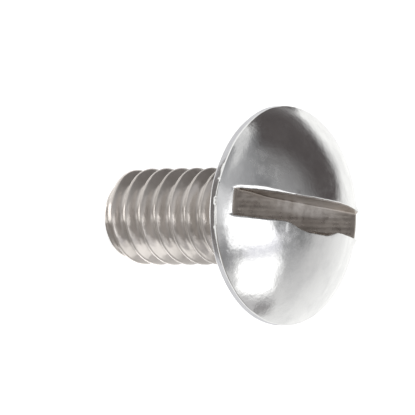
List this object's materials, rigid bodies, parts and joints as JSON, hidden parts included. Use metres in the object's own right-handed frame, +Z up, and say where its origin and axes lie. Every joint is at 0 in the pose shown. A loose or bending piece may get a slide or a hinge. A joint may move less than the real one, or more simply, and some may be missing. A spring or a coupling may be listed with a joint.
{
  "type": "truss head screw",
  "caption": "Slotted truss head machine screw of polished stainless steel: low wide dome, straight slot and a short shank threaded almost to the head.",
  "frame": {"origin": "centre of the flat end of the tip, on the ground", "axes": "+Z up, along the screw's axis towards its head; the slot runs along Y"},
  "size_m": [0.0138, 0.0138, 0.0159],
  "materials": {
    "stainless": "polished head, duller rolled thread"
  },
  "bodies": {
    "root": {"screw": "stainless"}
  },
  "joints": []
}
